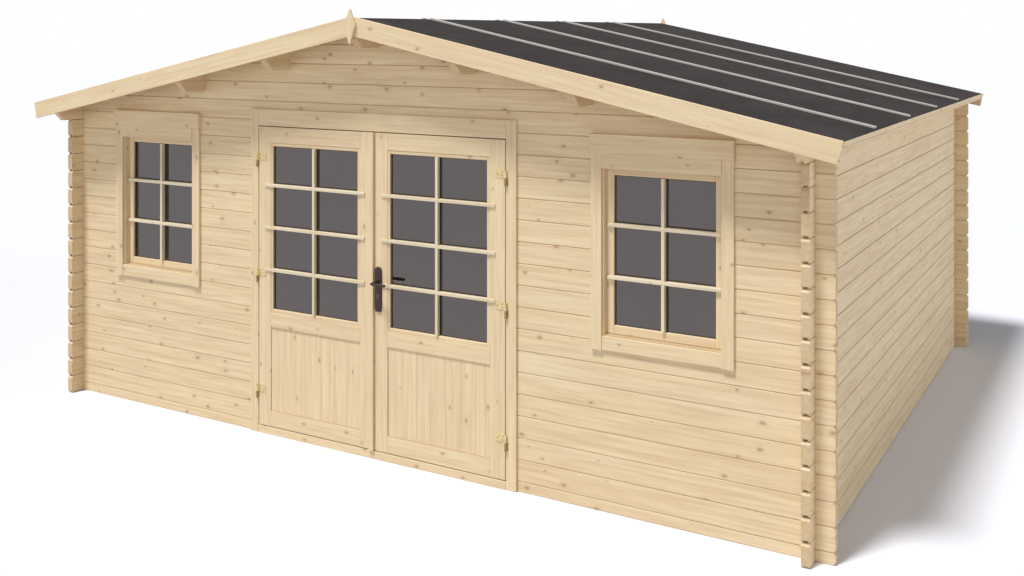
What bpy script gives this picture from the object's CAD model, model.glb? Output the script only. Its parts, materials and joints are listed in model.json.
"""Garden house of spruce logs: joinery, roofing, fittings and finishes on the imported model.

The studio floor, the light and the camera come last.
"""
import json
import math
import random

import bmesh
import bpy
from mathutils import Matrix, Vector


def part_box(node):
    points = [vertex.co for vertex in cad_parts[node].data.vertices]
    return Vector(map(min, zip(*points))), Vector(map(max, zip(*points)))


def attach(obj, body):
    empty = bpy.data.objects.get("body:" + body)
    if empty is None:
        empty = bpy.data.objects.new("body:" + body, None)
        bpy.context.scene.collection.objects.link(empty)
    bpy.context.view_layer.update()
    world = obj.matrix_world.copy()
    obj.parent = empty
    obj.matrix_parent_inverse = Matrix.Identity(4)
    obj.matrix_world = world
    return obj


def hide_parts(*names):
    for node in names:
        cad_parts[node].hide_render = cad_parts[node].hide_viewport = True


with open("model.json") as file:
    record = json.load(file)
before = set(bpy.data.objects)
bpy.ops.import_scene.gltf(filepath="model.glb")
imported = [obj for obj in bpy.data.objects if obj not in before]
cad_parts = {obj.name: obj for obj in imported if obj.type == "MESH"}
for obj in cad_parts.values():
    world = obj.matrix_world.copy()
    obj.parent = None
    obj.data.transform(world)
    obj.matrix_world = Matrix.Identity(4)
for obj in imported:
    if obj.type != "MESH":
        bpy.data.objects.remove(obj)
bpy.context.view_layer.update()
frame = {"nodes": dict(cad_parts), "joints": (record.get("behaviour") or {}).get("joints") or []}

dice = random.Random(114)
SIDES = {"left": -1, "right": 1}

# Play between boards, a tolerance and the easing of edges, in metres like all sizes below
PLAY = 0.0003
TINY = 1e-6
SOFT_EASE = 0.003
TRIM_EASE = 0.0022
BOARD_EASE = 0.002
EASE = 0.0016
PANEL_EASE = 0.001
STRIP_EASE = 0.0008
SEAL_EASE = 0.0006

# Logs, roof and floor
LOG = 0.114
COURSES = 16
GABLE_TOP = COURSES + 9
PITCH = math.radians(11.8)
ROOF_BOARD = 0.096
FLOOR_BOARD = 0.112
BATTEN = 0.038
BATTEN_DEPTH = 0.011
BATTEN_ROWS = 4
BATTEN_SHARES = BATTEN_ROWS + 1.12
BATTEN_LEAD = 0.14
BATTEN_START = 0.018
BATTEN_PAST = 0.010
DECK_LAP = 0.01
RIDGE_LAP = 0.03
BARGE_RISE = 0.0055
GROOVE_TALL = 0.005
GROOVE_DEEP = 0.008
LATH_SET = 0.006
LATH_PLAY = 0.0002
HEM_SET = 0.0015
EAVE_STRIP_RISE = 0.003
FINIAL_WIDEST = 0.536
FINIAL_EASE = 0.0025

# Windows
JAMB = 0.034
WINDOW_HEAD = 0.086
WINDOW_TRIM = 0.060
HEAD_TRIM = 0.100
HEAD_STEP = 0.006
HEAD_OVER = 0.004
HEAD_DROP = 0.012
SIDE_TRIM_SET = 0.005
BOTTOM_TRIM = 0.071
BOTTOM_TRIM_SET = 0.009
BOTTOM_TRIM_RISE = 0.003
SASH_FOOT_DEPTH = 0.003
SASH_FOOT = 0.006

# Doors
POST = 0.034
REBATE = 0.020
LEAF_GAP = 0.005
BEAD = 0.020
BEAD_SIDES = (0.015, 0.021)
BEAD_SET = 0.003
PANEL_RISE = 0.016
PANEL_BOARDS = 7
PANEL_FOOT_SET = 0.001
PANEL_FOOT = 0.003
STOP_GAP = 0.003
STOP_BACK = 0.018
COVER_EASE = 0.004

# Glazing bars, with the rows of panes, the spread of their shares and how far the bars sink
BAR = 0.018
BAR_ROUND = 0.003
BAR_PROUD = 0.008
UPRIGHT_SET = 0.001
WINDOW_BAR_PROUD = 0.014
WINDOW_LAP = 0.032
ROOM_LAP = 0.020
DOOR_LAP = 0.056
WINDOW_ROWS = 3
DOOR_ROWS = 4
BAR_SPREAD = {WINDOW_ROWS: (1.049, 0.0047), DOOR_ROWS: (1.037, 0.001)}

# Sealing strips
SEAL = 0.002
SEAL_CLEAR = 0.0001
SEAL_TOP = 0.004
SEAL_FOOT = 0.003
SEAL_BESIDE = 0.003
SEAL_ABOVE = 0.008
WINDOW_SEAL_DEPTH = 0.004
WINDOW_LIP = 0.005
DOOR_LIP = 0.0025

# Handle, lock and hinges
PLATE_FOOT = 0.028
PLATE_FLAT = 0.8
PLATE_EASE = 0.0035
KEY_DROP = 0.075
BARREL = 0.0085
BARREL_DEPTH = 0.003
KEY_BODY = 0.005
KEY_BODY_DEPTH = 0.0013
KEY_BODY_ENDS = (0.022, 0.006)
KEY_SLOT = (0.0012, 0.005)
KEY_SLOT_SET = (0.0014, 0.0017)
KEY_SLOT_EASE = 0.0001
LOCK_PLATES = (((-0.0006, -0.010, -0.150), (0.0016, 0.010, 0.085), 0.0005, 1),
               ((-0.0014, -0.006, -0.012), (0.0016, 0.006, 0.012), 0.0007, 2))
GRIP = 0.008
GRIP_INSET = 0.0095
GRIP_BEND = 0.0095
GRIP_STEPS = ((0.45, 1.12), (0.35, 1.0), (0.14, 0.9), (0.06, 0.55))
SCREW = 0.0048
SCREW_CUT = 0.35
SCREW_FLATNESS = 0.6
SCREW_PLACES = ((0.014, 0.0), (0.044, 0.010), (0.044, -0.010))
HINGE_FLAP = 0.0033
HINGE_HALF = 0.021


# Finishes

class Shade:
    """A value in a finish; arithmetic on it adds Math nodes."""

    def __init__(self, finish, socket):
        self.finish, self.socket = finish, socket

    def math(self, operation, *values):
        return self.finish.node("Math", {"operation": operation}, dict(enumerate(values)))

    def __add__(self, other):
        return self.math("ADD", self, other)

    __radd__ = __add__

    def __sub__(self, other):
        return self.math("SUBTRACT", self, other)

    def __rsub__(self, other):
        return self.math("SUBTRACT", other, self)

    def __mul__(self, other):
        return self.math("MULTIPLY", self, other)

    __rmul__ = __mul__

    def __truediv__(self, other):
        return self.math("DIVIDE", self, other)

    def __abs__(self):
        return self.math("ABSOLUTE", self)

    def floor(self):
        return self.math("FLOOR", self)

    def nearest(self):
        return self.math("ROUND", self)

    def least(self, other):
        return self.math("MINIMUM", self, other)

    def wave(self):
        """Zero to one and back for each whole step of the value."""
        return 0.5 + 0.5 * self.math("SINE", self * math.tau)

    def rise(self, low, high):
        """A smooth step from 0 at low to 1 at high."""
        return self.finish.node("MapRange", {"interpolation_type": "SMOOTHSTEP"},
                                {"Value": self, "From Min": low, "From Max": high})


class Finish:
    """A material round one Principled shader."""

    def __init__(self, name, **sockets):
        self.material = bpy.data.materials.new(name)
        self.material.use_nodes = True
        self.tree = self.material.node_tree
        self.tree.nodes.clear()
        self.shader = self.tree.nodes.new("ShaderNodeBsdfPrincipled")
        output = self.tree.nodes.new("ShaderNodeOutputMaterial")
        self.tree.links.new(self.shader.outputs["BSDF"], output.inputs["Surface"])
        self.set(**sockets)

    def plug(self, node, sockets):
        for key, value in sockets.items():
            if isinstance(value, Shade):
                self.tree.links.new(value.socket, node.inputs[key])
            else:
                node.inputs[key].default_value = value

    def node(self, kind, settings=None, sockets=None, out=0):
        made = self.tree.nodes.new("ShaderNode" + kind)
        for key, value in (settings or {}).items():
            setattr(made, key, value)
        self.plug(made, sockets or {})
        return Shade(self, made.outputs[out])

    def set(self, **sockets):
        self.plug(self.shader, {key.replace("_", " "): value for key, value in sockets.items()})

    def place(self):
        """Where a point lies on its object."""
        return self.node("TexCoord", None, None, "Object")

    def outward(self):
        """Which way a face looks on its object."""
        return self.node("TexCoord", None, None, "Normal")

    def part(self, vector, axis):
        return self.node("SeparateXYZ", None, {0: vector}, axis)

    def vector(self, x, y, z=0.0):
        return self.node("CombineXYZ", None, {0: x, 1: y, 2: z})

    def on_vector(self, operation, a, b):
        return self.node("VectorMath", {"operation": operation}, {0: a, 1: b})

    def length(self, vector):
        return self.node("VectorMath", {"operation": "LENGTH"}, {0: vector}, "Value")

    def blend(self, factor, a, b):
        return self.node("Mix", {"data_type": "RGBA"}, {0: factor, 6: a, 7: b}, 2)

    def noise(self, place, often, detail=2.0, rough=0.5):
        """Noise over a place, with so many spots to the metre along each of its parts."""
        spots = self.on_vector("MULTIPLY", place, often)
        return self.node("TexNoise", None,
                         {"Vector": spots, "Scale": 1.0, "Detail": detail, "Roughness": rough})

    def chance(self, value):
        return self.node("TexWhiteNoise", {"noise_dimensions": "1D"}, {"W": value})

    def bump(self, height, depth, strength):
        self.set(Normal=self.node("Bump", None,
                                  {"Strength": strength, "Distance": depth, "Height": height}))


def rgb(red, green, blue):
    """A colour as it is picked on a screen, made linear."""
    return tuple((c / 255 / 12.92) if c < 11 else ((c / 255 + 0.055) / 1.055) ** 2.4
                 for c in (red, green, blue)) + (1.0,)


WOOD_GLOSS = 0.35
KNOTS_ALONG = 2.7
KNOTS_ACROSS = 8.8
KNOT_STRETCH = 0.62
PALE, WARM = rgb(235, 216, 177), rgb(228, 204, 171)
DARK_PATCH, LIGHT_PATCH = rgb(206, 176, 132), rgb(246, 231, 198)
DARK_STREAK, LIGHT_STREAK = rgb(208, 178, 136), rgb(243, 229, 204)
RING, FIBRE = rgb(212, 182, 138), rgb(202, 168, 124)
KNOT, HALO = rgb(118, 92, 62), rgb(204, 170, 124)
END_GRAIN, GRIME = rgb(186, 154, 116), rgb(134, 102, 66)


def grow_spruce(wood, run, tone, joint=None, end=None, pale=PALE, warm=WARM, knots=1.0, stain=1.0):
    """Planed spruce over a place given as along, across and through the grain."""
    cell = wood.vector(wood.part(run, 0) * KNOTS_ALONG, wood.part(run, 1) * KNOTS_ACROSS)
    seat, dye = (wood.node("TexVoronoi", {"voronoi_dimensions": "2D"},
                           {"Vector": cell, "Scale": 1.0, "Randomness": 0.85}, out)
                 for out in ("Position", "Color"))
    luck = wood.node("SeparateColor", None, {0: dye})
    off = wood.on_vector("MULTIPLY", wood.on_vector("SUBTRACT", cell, seat),
                         (KNOT_STRETCH / KNOTS_ALONG, 1 / KNOTS_ACROSS, 0))
    far = wood.length(off) + 0.004 * wood.noise(run, (80, 130, 130), 1.0)
    size = luck.rise(-0.3, 0.9) * 0.0096 * knots + 0.0014
    knot = 1 - (far / size).rise(0.25, 1.6)
    halo = (1 - (far / (size * 4.2)).rise(0.0, 1.0)) * luck.rise(0.15, 0.35)
    broad = wood.noise(run, (0.38, 7.5, 7.5), 2.0, 0.45)
    rings = (broad * 9.0 + halo * 1.3).wave()
    fibre = wood.noise(run, (2.6, 150, 150), 3.0, 0.6)
    streak = wood.noise(run, (0.7, 34, 34), 3.0, 0.55)
    heart = wood.noise(run, (0.9, 5.0, 5.0))
    patch = wood.noise(run, (3.4, 58, 58))
    warmth = 0.16 * tone + 0.38 * heart.rise(0.36, 0.64) + 0.46 * patch.rise(0.36, 0.64)
    colour = wood.blend(warmth, pale, warm)
    for share, where, hue in ((0.26, patch.rise(0.5, 0.72), DARK_PATCH),
                              (0.26, patch.rise(0.5, 0.28), LIGHT_PATCH),
                              (0.10, rings, RING),
                              (0.30, streak.rise(0.45, 0.75), DARK_STREAK),
                              (0.30, streak.rise(0.52, 0.25), LIGHT_STREAK),
                              (0.22, fibre.rise(0.5, 0.8), FIBRE),
                              (0.32, halo * halo, HALO)):
        colour = wood.blend(where * (share * stain), colour, hue)
    colour = wood.blend(knot * 0.5, colour, KNOT)
    if end is not None:
        facing, pith = end
        growth = (wood.length(pith) * 260 + 1.5 * broad).wave()
        colour = wood.blend(facing * (0.3 + 0.25 * growth), colour, END_GRAIN)
    if joint is not None:
        colour = wood.blend(joint, colour, GRIME)
    wood.set(Base_Color=colour, Roughness=0.56 + 0.16 * fibre)
    wood.bump(0.5 * rings + 0.5 * fibre + 0.4 * knot, 0.0005, 0.5)
    return wood.material


def log_spruce(name, axis, shift, top, seed, grime, knots=1.0):
    """Spruce for logs stacked along an axis, each course a log of its own, with grime in the joints."""
    wood = Finish(name, Specular_IOR_Level=WOOD_GLOSS)
    here = wood.place()
    x, y, z = (wood.part(here, i) for i in range(3))
    along, through = (x, y) if axis == 0 else (y, x)
    lift = z / LOG + shift
    course = lift.floor().least(top)
    inside = (lift - course) * LOG
    wall = (through * 0.5).nearest() * 7.0
    side = wood.chance(course + wall + seed)
    run = wood.vector(along + side * 60.0, z, through)
    tone = wood.chance(course * 1.7 + wall + seed + 0.35)
    joint = 1 - inside.least(LOG - inside).rise(0.0003, 0.0052)
    facing = abs(wood.part(wood.outward(), axis)).rise(0.6, 0.9)
    pith = wood.vector(inside - 0.02 - 0.08 * side, through - 0.04 * wood.chance(course + seed + 9.1))
    return grow_spruce(wood, run, tone, grime * joint * (1 - facing), (facing, pith), knots=knots)


def beam_spruce(name):
    """Spruce for the purlins and bearers, which run from front to back."""
    wood = Finish(name, Specular_IOR_Level=WOOD_GLOSS)
    here = wood.place()
    x, y, z = (wood.part(here, i) for i in range(3))
    each = wood.chance((x * 2.4 + 0.5).floor() + 31.0)
    facing = abs(wood.part(wood.outward(), 1)).rise(0.4, 0.75)
    pith = wood.vector(x - 0.1 * each, z - 2.2)
    return grow_spruce(wood, wood.vector(y + each * 40.0, z, x), each, end=(facing, pith))


def board_spruce(name, **colours):
    """Spruce for boards that carry their own grain and tone."""
    wood = Finish(name, Specular_IOR_Level=WOOD_GLOSS)
    run = wood.node("Attribute", {"attribute_name": "grain"}, None, "Vector")
    tone = wood.node("Attribute", {"attribute_name": "tone"}, None, "Fac")
    return grow_spruce(wood, run, tone, **colours)


def roofing_felt():
    felt = Finish("roofing_felt", Specular_IOR_Level=0.06)
    here = felt.place()
    sand = felt.noise(here, (900, 900, 900), 2.0, 0.6)
    mottle = felt.noise(here, (5, 2.2, 5), 4.0, 0.6)
    colour = felt.blend(mottle.rise(0.3, 0.75), rgb(49, 45, 45), rgb(63, 58, 58))
    colour = felt.blend(sand.rise(0.62, 0.8) * 0.4, colour, rgb(88, 85, 82))
    felt.set(Base_Color=colour, Roughness=0.82 + 0.12 * mottle)
    felt.bump(sand + 0.8 * mottle, 0.0012, 0.6)
    return felt.material


def pane_glass():
    """A clear pane in front of a dark room."""
    glass = Finish("pane_glass", IOR=2.2, Specular_IOR_Level=0.5, Alpha=0.86)
    haze = glass.noise(glass.place(), (2.2, 2.2, 1.6), 3.0)
    glass.set(Base_Color=glass.blend(haze.rise(0.25, 0.75), rgb(20, 16, 15), rgb(32, 27, 26)),
              Roughness=0.02 + 0.03 * haze)
    return glass.material


def bare_metal(name, dull, bright, metallic):
    metal = Finish(name, Metallic=metallic)
    cloud = metal.noise(metal.place(), (60, 60, 60), 3.0, 0.6)
    metal.set(Base_Color=metal.blend(cloud.rise(0.3, 0.7), dull, bright), Roughness=0.42 + 0.2 * cloud)
    return metal.material


def dark_coat(name, dark, light):
    """Satin coat on a handle, or the skin of a rubber strip."""
    coat = Finish(name, Specular_IOR_Level=0.5)
    here = coat.place()
    grit = coat.noise(here, (700, 700, 700))
    cloud = coat.noise(here, (30, 30, 30))
    coat.set(Base_Color=coat.blend(cloud, dark, light), Roughness=0.38 + 0.2 * cloud)
    coat.bump(grit, 0.0002, 0.4)
    return coat.material


# Joinery

def verts_in(geometry):
    return [item for item in geometry if isinstance(item, bmesh.types.BMVert)]


def edges_in(geometry):
    return [item for item in geometry if isinstance(item, bmesh.types.BMEdge)]


def all_of(solid):
    return solid.verts[:] + solid.edges[:] + solid.faces[:]


def eased(solid, edges, offset, steps):
    bmesh.ops.bevel(solid, geom=edges, offset=offset, offset_type="OFFSET", segments=steps, profile=0.5,
                    affect="EDGES", material=-1)
    return solid


def turned(solid, matrix):
    bmesh.ops.transform(solid, matrix=matrix, verts=solid.verts[:])
    return solid


def give_grain(solid, order):
    """Grain along, across and through a solid, shifted so that no two boards match."""
    grain = solid.verts.layers.float_vector.new("grain")
    tone = solid.verts.layers.float.new("tone")
    shift = Vector((dice.uniform(0, 60), dice.uniform(0, 9), dice.uniform(0, 9)))
    shade = dice.random()
    for vert in solid.verts:
        vert[grain] = Vector([vert.co[i] for i in order]) + shift
        vert[tone] = shade
    return solid


def plank(low, high, edge=EASE, steps=2):
    """A board between two corners with eased edges, its grain along the longest side."""
    low, high = Vector(low), Vector(high)
    size = high - low
    solid = bmesh.new()
    bmesh.ops.create_cube(solid, size=1.0, matrix=Matrix.LocRotScale((low + high) / 2, None, size))
    eased(solid, solid.edges[:], edge, steps)
    return give_grain(solid, sorted(range(3), key=lambda i: -size[i]))


def mount(name, body, finish, solids, stands_for=(), smooth=False):
    """Joins solids into one piece of the house and hangs it on its body."""
    whole = bmesh.new()
    whole.verts.layers.float_vector.new("grain")
    whole.verts.layers.float.new("tone")
    hold = bpy.data.meshes.new("hold")
    for solid in solids:
        solid.to_mesh(hold)
        solid.free()
        whole.from_mesh(hold)
    bpy.data.meshes.remove(hold)
    mesh = bpy.data.meshes.new(name)
    whole.to_mesh(mesh)
    whole.free()
    if smooth:
        mesh.shade_smooth()
    mesh.materials.append(finish)
    piece = bpy.data.objects.new(name, mesh)
    bpy.context.scene.collection.objects.link(piece)
    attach(piece, body)
    if stands_for:
        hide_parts(*stands_for)


def shares(start, end, count):
    """Equal shares of a stretch, with play between them."""
    width = (end - start) / count
    return [(start + i * width + PLAY, start + (i + 1) * width - PLAY) for i in range(count)]


def box_frame(low, high, posts, top, bottom, edge=EASE):
    """Two posts with a top and a bottom rail between them."""
    (x0, y0, z0), (x1, y1, z1) = low, high
    left, right = x0 + posts[0], x1 - posts[1]
    return [plank((x0, y0, z0), (left, y1, z1), edge),
            plank((right, y0, z0), (x1, y1, z1), edge),
            plank((left + PLAY, y0, z1 - top), (right - PLAY, y1, z1), edge),
            plank((left + PLAY, y0, z0), (right - PLAY, y1, z0 + bottom), edge)]


def bar_levels(pane, rows):
    """Lower and upper edges of the level bars, spread a little wider than equal shares."""
    low, high = pane
    spread, sink = BAR_SPREAD[rows]
    step = spread * (high.z - low.z) / rows
    levels = [(low.z + high.z) / 2 - sink + (i - rows / 2) * step for i in range(1, rows)]
    return [(level - BAR / 2, level + BAR / 2) for level in levels]


def bar_seat(pane, out):
    """Where a bar outside or inside ends against its pane."""
    return pane[0].y - SEAL - PLAY if out < 0 else pane[1].y + PLAY


def glazing_bars(pane, face, rows, lap, proud=BAR_PROUD, out=-1):
    """Rounded bars of a glazed frame: one upright down to the pane, and rows that lap onto the stiles."""
    low, high = pane
    middle = (low.x + high.x) / 2
    back = face + out * PLAY
    near, away = sorted((bar_seat(pane, out), back + out * (proud - UPRIGHT_SET)))
    bars = [plank((middle - BAR / 2, near, low.z + PLAY), (middle + BAR / 2, away, high.z - PLAY),
                  BAR_ROUND, 4)]
    near, away = sorted((back, back + out * proud))
    for under, over in bar_levels(pane, rows):
        bars.append(plank((low.x - lap, near, under), (high.x + lap, away, over), BAR_ROUND, 4))
    return bars


def bar_backs(pane, faces, rows):
    """What fills the space between the level bars and the pane, outside and inside."""
    low, high = pane
    middle = (low.x + high.x) / 2
    fills = []
    for face, out in zip(faces, (-1, 1)):
        near, away = sorted((bar_seat(pane, out), face - out * PLAY))
        for under, over in bar_levels(pane, rows):
            for x0, x1 in ((low.x + PLAY, middle - BAR / 2), (middle + BAR / 2, high.x - PLAY)):
                fills.append(plank((x0, near, under), (x1, away, over), STRIP_EASE))
    return fills


def gasket(pane, depth, rows, lip):
    """Dark sealing strips round a pane and behind its bars."""
    low, high = pane
    middle = (low.x + high.x) / 2
    half = BAR / 2 + SEAL_BESIDE
    back = low.y - SEAL_CLEAR
    near = back - SEAL
    strips = box_frame((low.x, back - depth, low.z), (high.x, back, high.z), (lip, lip),
                       SEAL_TOP, SEAL_FOOT, STRIP_EASE)
    strips.append(plank((middle - half, near, low.z + lip),
                        (middle + half, back, high.z - lip), SEAL_EASE))
    for under, over in bar_levels(pane, rows):
        for x0, x1 in ((low.x + lip, middle - half), (middle + half, high.x - lip)):
            strips.append(plank((x0, near, under), (x1, back, over + SEAL_ABOVE), SEAL_EASE))
    return strips


def window(side):
    """A casing with its sill, a barred sash, and the trim boards on the wall."""
    name = side + "_window"
    low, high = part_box(name + "_frame")
    middle = (low.x + high.x) / 2
    casing = box_frame(low, high, (JAMB, JAMB), WINDOW_HEAD, JAMB)
    sill = [casing.pop()]
    mount(name + "_casing", "house", boards, casing, [name + "_frame"])
    low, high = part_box(name + "_sash")
    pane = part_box(name + "_glass")
    stile = pane[0].x - low.x - PLAY
    top, bottom = high.z - pane[1].z - PLAY, pane[0].z - low.z - PLAY
    mount(name + "_casement", "house", boards,
          box_frame(low, high, (stile, stile), top, bottom, SOFT_EASE), [name + "_sash"])
    mount(name + "_bars", "house", bar_wood,
          glazing_bars(pane, low.y, WINDOW_ROWS, WINDOW_LAP, WINDOW_BAR_PROUD)
          + glazing_bars(pane, high.y, WINDOW_ROWS, ROOM_LAP, out=1))
    mount(name + "_gasket", "house", rubber,
          gasket(pane, WINDOW_SEAL_DEPTH, WINDOW_ROWS, WINDOW_LIP))
    sill.append(plank((low.x, low.y - SASH_FOOT_DEPTH, low.z + PLAY),
                      (high.x, low.y - PLAY, low.z + SASH_FOOT), STRIP_EASE))
    mount(name + "_sill", "house", sill_wood, sill)
    drop = high.z - HEAD_DROP
    low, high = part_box(name + "_trim")
    edge = (high.x - low.x) / 2 - HEAD_OVER - WINDOW_TRIM
    head = high.z - HEAD_TRIM
    front, back = low.y + HEAD_STEP, high.y
    trim = []
    for sign in SIDES.values():
        x = middle + sign * (edge + WINDOW_TRIM / 2)
        trim.append(plank((x - WINDOW_TRIM / 2, front + SIDE_TRIM_SET, low.z),
                          (x + WINDOW_TRIM / 2, back, head - PLAY), TRIM_EASE))
    trim.append(plank((low.x, low.y, head), (high.x, back, high.z), TRIM_EASE))
    foot = low.z + BOTTOM_TRIM_RISE
    for near, bottom, top in ((front + BOTTOM_TRIM_SET, foot, foot + BOTTOM_TRIM),
                              (front, drop, head - PLAY)):
        trim.append(plank((middle - edge + PLAY, near, bottom),
                          (middle + edge - PLAY, back, top), TRIM_EASE))
    mount(name + "_boards", "house", boards, trim, [name + "_trim"])


def door_pane(side):
    """What shows of a door's glass between its beads."""
    low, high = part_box(side + "_door_glass")
    left, right = BEAD_SIDES
    return Vector((low.x + left, low.y, low.z + BEAD)), Vector((high.x - right, high.y, high.z - BEAD))


def door(side):
    """A leaf of stiles and rails with a barred pane above and a boarded panel below."""
    name = side + "_door"
    (x0, y0, z0), (x1, y1, z1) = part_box(name + "_frame")
    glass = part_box(name + "_glass")
    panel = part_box(name + "_panel")
    panel[1].z += PANEL_RISE
    leaf = [plank((x0, y0, z0), (glass[0].x - PLAY, y1, z1), BOARD_EASE),
            plank((glass[1].x + PLAY, y0, z0), (x1, y1, z1), BOARD_EASE)]
    for low, high in ((z0, panel[0].z), (panel[1].z, glass[0].z), (glass[1].z, z1)):
        leaf.append(plank((glass[0].x, y0, low + PLAY), (glass[1].x, y1, high - PLAY), BOARD_EASE))
    mount(name + "_leaf", name, boards, leaf, [name + "_frame"])
    low, high = glass
    beads = []
    for near, away in ((y0 + BEAD_SET, low.y - PLAY), (high.y + PLAY, y1 - BEAD_SET)):
        beads += box_frame((low.x, near, low.z), (high.x, away, high.z), BEAD_SIDES, BEAD, BEAD,
                           SOFT_EASE)
    mount(name + "_beads", name, boards, beads)
    pane = door_pane(side)
    mount(name + "_bars", name, bar_wood,
          glazing_bars(pane, y0, DOOR_ROWS, DOOR_LAP)
          + glazing_bars(pane, y1, DOOR_ROWS, DOOR_LAP, out=1))
    mount(name + "_gasket", name, rubber, gasket(pane, SEAL, DOOR_ROWS, DOOR_LIP))
    low, high = panel
    mount(name + "_panel_sill", name, sill_wood,
          [plank((low.x + PLAY, y0 + PANEL_FOOT_SET, low.z),
                 (high.x - PLAY, low.y - PLAY, low.z + PANEL_FOOT), SEAL_EASE)])
    mount(name + "_panel_boards", name, boards,
          [plank((x0, low.y, low.z), (x1, high.y, high.z), PANEL_EASE)
           for x0, x1 in shares(low.x, high.x, PANEL_BOARDS)], [name + "_panel"])


def door_surround():
    """Trim, posts and sill of the doorway, and the strips where the leaves meet."""
    low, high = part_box("door_trim")
    sill_low, sill_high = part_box("door_threshold")
    inner = sill_high.x - POST
    trim = []
    for sign in SIDES.values():
        x0, x1 = sorted((sign * inner, sign * high.x))
        trim.append(plank((x0, low.y, low.z), (x1, high.y, high.z), TRIM_EASE))
    trim.append(plank((-inner + PLAY, low.y, high.z - HEAD_TRIM),
                      (inner - PLAY, high.y, high.z), TRIM_EASE))
    mount("door_boards", "house", boards, trim, ["door_trim"])
    low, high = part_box("door_frame")
    left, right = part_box("left_door_frame"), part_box("right_door_frame")
    step = left[1].y + LEAF_GAP
    under = high.z - POST
    posts = []
    for sign in SIDES.values():
        x0, x1 = sorted((sign * inner, sign * high.x))
        posts.append(plank((x0, low.y, low.z), (x1, high.y, high.z)))
        x0, x1 = sorted((sign * (inner - REBATE), sign * (inner - PLAY)))
        posts.append(plank((x0, step, low.z), (x1, high.y, under)))
    posts.append(plank((-inner + PLAY, low.y, under), (inner - PLAY, high.y, high.z)))
    posts.append(plank((-inner + REBATE + PLAY, step, under - REBATE),
                       (inner - REBATE - PLAY, high.y, under - PLAY)))
    mount("door_posts", "house", boards, posts, ["door_frame"])
    half = inner - 2 * PLAY
    mount("door_sill", "house", boards,
          [plank((sill_low.x, low.y + PLAY, sill_low.z), sill_high, SOFT_EASE),
           plank((-half, sill_low.y, sill_low.z), (half, low.y, sill_high.z), SOFT_EASE)],
          ["door_threshold"])
    low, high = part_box("door_cover_strip")
    mount("cover_strip", "left_door", boards, [plank(low, high, COVER_EASE, 3)],
          ["door_cover_strip"])
    mount("meeting_stop", "left_door", boards,
          [plank((left[1].x + PLAY, left[0].y + STOP_GAP, left[0].z),
                 (right[0].x - STOP_GAP, left[0].y + STOP_BACK, left[1].z), PANEL_EASE)])


def slope(side, ridge):
    """Place of a roof slope: X runs down from the ridge, Z stands off the boards."""
    return Matrix.Translation((0, 0, ridge)) @ Matrix.Rotation(SIDES[side] * PITCH, 4, "Y")


def mitred(solid, sign):
    """Cuts a board of one slope plumb at the ridge."""
    cut = bmesh.ops.bisect_plane(solid, geom=all_of(solid), dist=TINY, plane_co=(sign * PLAY, 0, 0),
                                 plane_no=(sign, 0, 0), clear_inner=True)
    bmesh.ops.contextual_create(solid, geom=edges_in(cut["geom_cut"]))
    return solid


def downhill(sign, x0, x1, y, z):
    """Corners of a board on a slope, between two distances from the ridge."""
    return (min(sign * x0, sign * x1), y[0], z[0]), (max(sign * x0, sign * x1), y[1], z[1])


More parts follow.
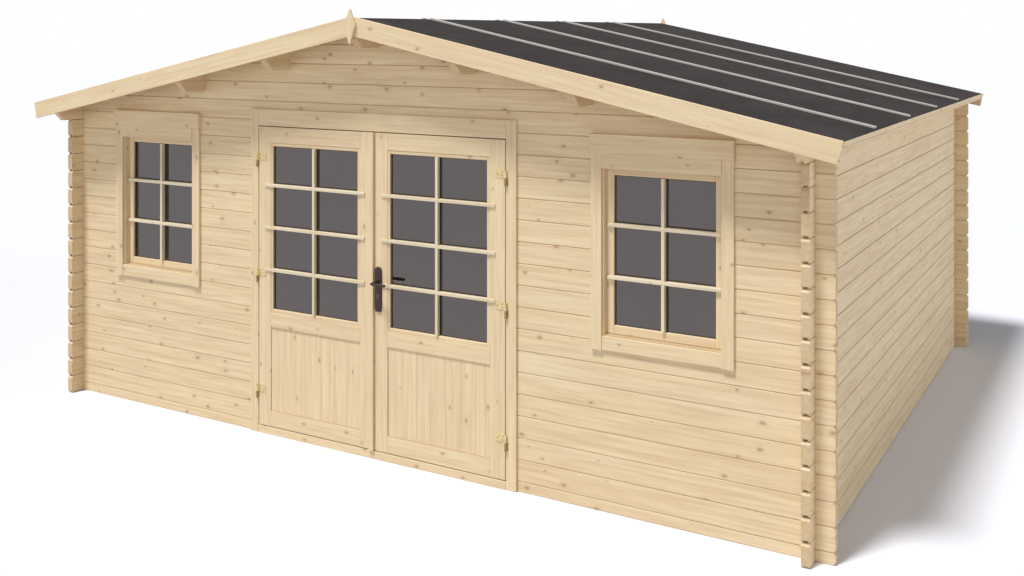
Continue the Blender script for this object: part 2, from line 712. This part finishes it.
def roof():
    """Boards, battens, bargeboards and eave laths of both slopes; gives the measures of a slope."""
    low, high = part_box("right_roof_deck")
    felt_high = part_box("right_roof_felt")[1]
    front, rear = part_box("front_bargeboards"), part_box("back_bargeboards")
    thick = (high.z - low.z) - (high.x - low.x) * math.tan(PITCH)
    ridge = high.z - thick
    deck = thick * math.cos(PITCH)
    lift = (felt_high.z - ridge) * math.cos(PITCH) + PLAY
    reach = felt_high.x / math.cos(PITCH)
    batten_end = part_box("felt_battens")[1].x / math.cos(PITCH) + BATTEN_PAST
    batten_step = (rear[1].y - front[0].y) / BATTEN_SHARES
    board = front[1].y - front[0].y
    barge = (front[1].z - front[0].z - front[1].x * math.tan(PITCH)) / math.cos(PITCH)
    crest = (front[1].z - ridge) * math.cos(PITCH)
    foot = reach - crest * math.tan(PITCH)
    edge = reach - (board + PLAY) / math.cos(PITCH)
    under = reach - board - LATH_SET
    groove = -PLAY - GROOVE_TALL
    battens, fronts, backs = [], [], []
    for side, sign in SIDES.items():
        place = slope(side, ridge)
        planks = []
        for y in shares(low.y, high.y, round((high.y - low.y) / ROOF_BOARD)):
            solid = plank(*downhill(sign, -DECK_LAP, edge, y, (0, deck)), SOFT_EASE, 1)
            planks.append(mitred(turned(solid, place), sign))
        mount(side + "_roof_boards", "house", under_boards, planks, [side + "_roof_deck"])
        for i in range(1, BATTEN_ROWS + 1):
            y = front[0].y + batten_step * (i - BATTEN_LEAD)
            solid = plank(*downhill(sign, BATTEN_START, batten_end, (y - BATTEN / 2, y + BATTEN / 2),
                                    (lift, lift + BATTEN_DEPTH)), BOARD_EASE)
            battens.append(turned(solid, place))
        for barges, (near, away), top in ((fronts, front, crest + BARGE_RISE), (backs, rear, deck)):
            solid = plank(*downhill(sign, -RIDGE_LAP, foot, (near.y, away.y), (crest - barge, top)),
                          TRIM_EASE)
            barges.append(mitred(turned(solid, place), sign))
        y = [corner.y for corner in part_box(side + "_eave_laths")]
        laths = []
        for start, end, z in ((reach - board, reach, (0, deck)),
                              (under, under + board, (-board - PLAY, groove)),
                              (under, under + board - GROOVE_DEEP, (groove, -PLAY))):
            solid = plank(*downhill(sign, start + LATH_PLAY, end - LATH_PLAY, y, z), BOARD_EASE)
            laths.append(turned(solid, place))
        mount(side + "_eave_boards", "house", boards, laths, [side + "_eave_laths"])
        hem = plank(*downhill(sign, under + board - GROOVE_DEEP, under + board - HEM_SET, y,
                              (groove - PLAY + SEAL_EASE, -2 * PLAY)), SEAL_EASE, 1)
        mount(side + "_felt_hem", "house", felt, [turned(hem, place)])
    mount("roof_battens", "house", grey_boards, battens, ["felt_battens"])
    mount("front_barge", "house", boards, fronts, ["front_bargeboards"])
    mount("back_barge", "house", boards, backs, ["back_bargeboards"])
    finials(board)
    return ridge, reach, deck, lift


def finials(board):
    """Lozenge boards over the joints of the bargeboards."""
    low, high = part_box("finials")
    half = high.x
    wide = low.z + (high.z - low.z) * FINIAL_WIDEST
    solids = []
    for y in (low.y, high.y - board):
        solid = bmesh.new()
        corners = [solid.verts.new((x, y, z)) for x, z in
                   ((-half / 10, low.z), (half / 10, low.z), (half, wide), (0, high.z), (-half, wide))]
        thick = bmesh.ops.extrude_face_region(solid, geom=[solid.faces.new(corners)])
        bmesh.ops.translate(solid, vec=(0, board, 0), verts=verts_in(thick["geom"]))
        bmesh.ops.recalc_face_normals(solid, faces=solid.faces[:])
        solids.append(give_grain(eased(solid, solid.edges[:], FINIAL_EASE, 2), (2, 0, 1)))
    mount("finial_boards", "house", boards, solids, ["finials"])


def floor_boards():
    low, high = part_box("floor_deck")
    mount("floor_boards", "house", under_boards,
          [plank((low.x, y0, low.z), (high.x, y1, high.z), BOARD_EASE, 1)
           for y0, y1 in shares(low.y, high.y, round((high.y - low.y) / FLOOR_BOARD))], ["floor_deck"])


def eave_strips(ridge, reach, deck, lift):
    """Thin strips that stand on the eave laths and close the edge of the felt."""
    for side, sign in SIDES.items():
        low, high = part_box(side + "_eave_laths")
        strip = plank(*downhill(sign, reach - deck * math.tan(PITCH) + PLAY, reach - PLAY,
                                (low.y, high.y), (deck + PLAY, lift + EAVE_STRIP_RISE)), STRIP_EASE, 1)
        mount(side + "_eave_strip", "house", boards, [turned(strip, slope(side, ridge))])


def level_bar_backs():
    """The backs of the level bars, for the windows and for the doors."""
    for side in SIDES:
        window_name, door_name = side + "_window", side + "_door"
        sash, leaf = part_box(window_name + "_sash"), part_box(door_name + "_frame")
        mount(window_name + "_bar_backs", "house", bar_wood,
              bar_backs(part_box(window_name + "_glass"), (sash[0].y, sash[1].y), WINDOW_ROWS))
        mount(door_name + "_bar_backs", door_name, bar_wood,
              bar_backs(door_pane(side), (leaf[0].y, leaf[1].y), DOOR_ROWS))


# Fittings

UPRIGHT = Matrix.Rotation(math.pi / 2, 4, "X")


def handle_plate(middle, width, top, bottom, y0, y1):
    """A plate with a round top and a tapered foot."""
    solid = bmesh.new()
    r = width / 2
    bmesh.ops.create_circle(solid, cap_ends=True, segments=48, radius=r, matrix=UPRIGHT)
    for vert in solid.verts:
        taper = max(0, abs(vert.co.x) / r - PLATE_FLAT) / (1 - PLATE_FLAT)
        vert.co.z = vert.co.z + top - r if vert.co.z > -TINY else bottom + taper * PLATE_FOOT
        vert.co.x += middle
        vert.co.y = y1
    thick = bmesh.ops.extrude_face_region(solid, geom=solid.faces[:])
    bmesh.ops.translate(solid, vec=(0, y0 - y1, 0), verts=verts_in(thick["geom"]))
    bmesh.ops.recalc_face_normals(solid, faces=solid.faces[:])
    rims = [e for e in solid.edges
            if abs(e.verts[0].co.y - e.verts[1].co.y) < TINY and len(e.link_faces) == 2]
    return eased(solid, rims, PLATE_EASE, 3)


def lock_barrel(middle, y, level):
    """A round barrel with eased rims, its axis through the leaf."""
    solid = bmesh.new()
    bmesh.ops.create_cone(solid, cap_ends=True, segments=24, radius1=BARREL, radius2=BARREL,
                          depth=BARREL_DEPTH)
    rims = [e for e in solid.edges if abs(e.verts[0].co.z - e.verts[1].co.z) < TINY]
    eased(solid, rims, STRIP_EASE, 2)
    return turned(solid, Matrix.Translation((middle, y, level)) @ UPRIGHT)


def lever_grip(pin, start, end, out, length):
    """A round bar that leaves the leaf, bends, and runs along it to a narrowed tip."""
    solid = bmesh.new()
    bmesh.ops.create_circle(solid, cap_ends=False, segments=20, radius=GRIP,
                            matrix=Matrix.Translation((pin[0], start, pin[2])) @ UPRIGHT)
    bend_y = end - out * (GRIP_INSET + GRIP_BEND)
    run = bmesh.ops.extrude_edge_only(solid, edges=solid.edges[:])["geom"]
    bmesh.ops.translate(solid, vec=(0, bend_y - start, 0), verts=verts_in(run))
    run = bmesh.ops.spin(solid, geom=edges_in(run), cent=(pin[0] + GRIP_BEND, bend_y, pin[2]),
                         axis=(0, 0, 1), angle=-out * math.pi / 2, steps=8)["geom_last"]
    for share, grow in GRIP_STEPS:
        run = bmesh.ops.extrude_edge_only(solid, edges=edges_in(run))["geom"]
        verts = verts_in(run)
        bmesh.ops.translate(solid, vec=((length - GRIP_BEND) * share, 0, 0), verts=verts)
        centre = sum((v.co for v in verts), Vector()) / len(verts)
        bmesh.ops.scale(solid, vec=(1, grow, grow), space=Matrix.Translation(-centre), verts=verts)
    bmesh.ops.contextual_create(solid, geom=edges_in(run))
    bmesh.ops.contextual_create(solid, geom=[e for e in solid.edges if e.is_boundary])
    bmesh.ops.remove_doubles(solid, verts=solid.verts[:], dist=TINY)
    bmesh.ops.recalc_face_normals(solid, faces=solid.faces[:])
    return solid


def handle():
    """Plates and lock of the right leaf, and the lever with a grip on each side."""
    low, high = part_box("handle_plates")
    leaf_low, leaf_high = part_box("right_door_frame")
    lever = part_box("lever_handle")
    pin = next(j for j in frame["joints"] if j["name"] == "lever_turn")["pos_m"]
    middle = (low.x + high.x) / 2
    thick = leaf_low.y - low.y
    faces = ((leaf_low.y, -1), (leaf_high.y, 1))
    keyway = pin[2] - KEY_DROP
    plates, barrels, slots, grips = [], [], [], []
    for (face, out), corner in zip(faces, lever):
        near, away = sorted((face + out * PLAY, face + out * thick))
        plates.append(handle_plate(middle, high.x - low.x, high.z, low.z, near, away))
        y = face + out * thick
        barrels.append(lock_barrel(middle, y, keyway))
        barrels.append(plank((middle - KEY_BODY, y - KEY_BODY_DEPTH, keyway - KEY_BODY_ENDS[0]),
                             (middle + KEY_BODY, y + KEY_BODY_DEPTH, keyway - KEY_BODY_ENDS[1]), STRIP_EASE))
        near, away = sorted(y + out * gap for gap in KEY_SLOT_SET)
        half, tall = KEY_SLOT
        slots.append(plank((middle - half, near, keyway - tall), (middle + half, away, keyway + tall),
                           KEY_SLOT_EASE, 1))
        grips.append(lever_grip(pin, face, corner.y, out, lever[1].x - pin[0]))
    mount("handle_escutcheons", "right_door", iron, plates, ["handle_plates"],
          smooth=True)
    mount("lock_barrels", "right_door", steel, barrels)
    mount("key_slots", "right_door", iron, slots)
    seat = (leaf_low.x, (leaf_low.y + leaf_high.y) / 2, pin[2])
    lock_plates = []
    for low, high, ease, steps in LOCK_PLATES:
        corners = [[a + b for a, b in zip(seat, corner)] for corner in (low, high)]
        lock_plates.append(plank(*corners, ease, steps))
    mount("lock_face", "right_door", steel, lock_plates)
    mount("lever_grips", "lever", iron, grips, ["lever_handle"], smooth=True)


def screw_head(x, y, z):
    """A domed head on a face that looks toward -Y."""
    solid = bmesh.new()
    bmesh.ops.create_uvsphere(solid, u_segments=16, v_segments=8, radius=SCREW)
    bmesh.ops.bisect_plane(solid, geom=all_of(solid), dist=TINY / 10, plane_co=(0, 0, SCREW * SCREW_CUT),
                           plane_no=(0, 0, 1), clear_inner=True)
    bmesh.ops.translate(solid, vec=(0, 0, -SCREW * SCREW_CUT), verts=solid.verts[:])
    bmesh.ops.scale(solid, vec=(1, 1, SCREW_FLATNESS), verts=solid.verts[:])
    bmesh.ops.contextual_create(solid, geom=[e for e in solid.edges if e.is_boundary])
    bmesh.ops.recalc_face_normals(solid, faces=solid.faces[:])
    return turned(solid, Matrix.Translation((x, y, z)) @ UPRIGHT)


def hinge_screws():
    """Three screws on each hinge flap of the leaves."""
    for side, sign in SIDES.items():
        low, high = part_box(side + "_door_hinges")
        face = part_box(side + "_door_frame")[0].y - HINGE_FLAP
        inner = high.x if sign < 0 else low.x
        heads = []
        for z in (low.z + HINGE_HALF, (low.z + high.z) / 2, high.z - HINGE_HALF):
            for dx, dz in SCREW_PLACES:
                heads.append(screw_head(inner + sign * dx, face, z + dz))
        mount(side + "_door_screws", side + "_door", pin_zinc, heads)


# The finishes in use

boards = board_spruce("planed_boards", knots=0.9, stain=0.7)
bar_wood = board_spruce("glazing_bars", pale=rgb(230, 220, 198), warm=rgb(222, 209, 182), knots=0.4)
sill_wood = board_spruce("sill_boards", pale=rgb(198, 176, 142), warm=rgb(186, 163, 127), stain=0.5)
under_boards = board_spruce("roof_and_floor_boards", pale=rgb(226, 200, 156), warm=rgb(212, 180, 130))
grey_boards = board_spruce("weathered_battens", pale=rgb(190, 187, 184), warm=rgb(174, 171, 168),
                           knots=0.4, stain=0.2)
rubber = dark_coat("sealing_strip", rgb(44, 34, 28), rgb(62, 50, 42))
iron = dark_coat("dark_iron", rgb(34, 22, 22), rgb(48, 36, 36))
steel = bare_metal("satin_steel", rgb(92, 84, 88), rgb(116, 109, 113), 0.8)
zinc = bare_metal("yellow_zinc", rgb(212, 192, 138), rgb(234, 216, 168), 0.2)
pin_zinc = bare_metal("worn_zinc", rgb(150, 128, 80), rgb(186, 164, 110), 0.35)
glass = pane_glass()
felt = roofing_felt()
beams = beam_spruce("purlin_spruce")
gable_logs = log_spruce("gable_logs", 0, 0.5, GABLE_TOP, 111.0, 0.26)
side_logs = log_spruce("side_logs", 1, 0.0, COURSES, 200.0, 0.5, 0.7)

worn = {
    "front_wall_left": log_spruce("front_left_logs", 0, 0.5, GABLE_TOP, 3.0, 0.26),
    "front_wall_right": log_spruce("front_right_logs", 0, 0.5, GABLE_TOP, 57.0, 0.26),
    "front_gable": gable_logs, "back_wall": gable_logs, "back_gable": gable_logs,
    "left_wall": side_logs, "right_wall": side_logs,
    "ridge_purlin": beams, "left_purlins": beams, "right_purlins": beams, "floor_bearers": beams,
    "left_roof_felt": felt, "right_roof_felt": felt,
    "left_window_glass": glass, "right_window_glass": glass,
    "left_door_glass": glass, "right_door_glass": glass,
    "left_door_hinges": zinc, "right_door_hinges": zinc, "door_hinge_pins": pin_zinc,
}
for node, finish in worn.items():
    mesh = frame["nodes"][node].data
    mesh.materials.clear()
    mesh.materials.append(finish)

for side in SIDES:
    window(side)
    door(side)
door_surround()
slopes = roof()
floor_boards()
handle()
hinge_screws()
eave_strips(*slopes)
level_bar_backs()


# Floor, light and camera

MIRRORED = ("Is Glossy Ray", "Is Transmission Ray")
SKY_BOUNCED = 0.18
SKY_SEEN = 1.0
FLOOR_BOUNCED = (0.55, 0.55, 0.56, 1)
FLOOR_MIRRORED = (0.88, 0.81, 0.83, 1)
FLOOR_SEEN = (0.865, 0.885, 0.98, 1)

# Each lamp's name, the way its light travels, its power, its spread in degrees and its colour
LAMPS = (("key", (0.33, 0.80, -1.94), 3.0, 11, (1.0, 0.985, 0.96)),
         ("front_fill", (-0.12, 0.98, -0.11), 0.90, 50, (1.0, 0.99, 0.98)),
         ("side_fill", (-1.0, -0.30, -0.05), 1.58, 40, (0.90, 0.94, 1.0)))


def looked_at(tree, first, *others):
    """One where a ray of any of these kinds meets a surface, zero for light that it bounces."""
    path = tree.nodes.new("ShaderNodeLightPath")
    seen = path.outputs[first]
    for kind in others:
        either = tree.nodes.new("ShaderNodeMath")
        either.operation = "MAXIMUM"
        tree.links.new(seen, either.inputs[0])
        tree.links.new(path.outputs[kind], either.inputs[1])
        seen = either.outputs[0]
    return seen


def stage_floor():
    solid = bmesh.new()
    bmesh.ops.create_grid(solid, x_segments=1, y_segments=1, size=60)
    mesh = bpy.data.meshes.new("studio_floor")
    solid.to_mesh(mesh)
    solid.free()
    floor = bpy.data.objects.new("studio_floor", mesh)
    bpy.context.scene.collection.objects.link(floor)
    ground = Finish("studio_floor", Roughness=0.9, Specular_IOR_Level=0.0)
    mirrored = Shade(ground, looked_at(ground.tree, *MIRRORED))
    seen = Shade(ground, looked_at(ground.tree, "Is Camera Ray"))
    bounced = ground.blend(mirrored, FLOOR_BOUNCED, FLOOR_MIRRORED)
    ground.set(Base_Color=ground.blend(seen, bounced, FLOOR_SEEN))
    mesh.materials.append(ground.material)


def studio_light():
    world = bpy.data.worlds.new("studio_sky")
    bpy.context.scene.world = world
    world.use_nodes = True
    tree = world.node_tree
    tree.nodes.clear()
    strength = tree.nodes.new("ShaderNodeMapRange")
    tree.links.new(looked_at(tree, "Is Camera Ray", *MIRRORED), strength.inputs["Value"])
    strength.inputs["To Min"].default_value = SKY_BOUNCED
    strength.inputs["To Max"].default_value = SKY_SEEN
    sky = tree.nodes.new("ShaderNodeBackground")
    sky.inputs["Color"].default_value = (1, 1, 1, 1)
    tree.links.new(strength.outputs[0], sky.inputs["Strength"])
    output = tree.nodes.new("ShaderNodeOutputWorld")
    tree.links.new(sky.outputs[0], output.inputs["Surface"])
    for name, toward, power, spread, colour in LAMPS:
        lamp = bpy.data.lights.new(name, "SUN")
        lamp.energy = power
        lamp.angle = math.radians(spread)
        lamp.color = colour
        holder = bpy.data.objects.new(name, lamp)
        holder.rotation_euler = Vector(toward).to_track_quat("-Z", "Y").to_euler()
        holder.visible_glossy = name == "key"
        bpy.context.scene.collection.objects.link(holder)


def photo_camera():
    lens = bpy.data.cameras.new("photo_camera")
    lens.sensor_width = 36
    lens.lens = 39.41
    lens.shift_y = -0.2498
    lens.clip_end = 200
    camera = bpy.data.objects.new("photo_camera", lens)
    camera.location = (3.835, -7.117, 2.408)
    camera.rotation_euler = (math.pi / 2, 0, math.radians(29.967))
    bpy.context.scene.collection.objects.link(camera)
    bpy.context.scene.camera = camera


stage_floor()
studio_light()
photo_camera()
bpy.context.scene.view_settings.view_transform = "Standard"
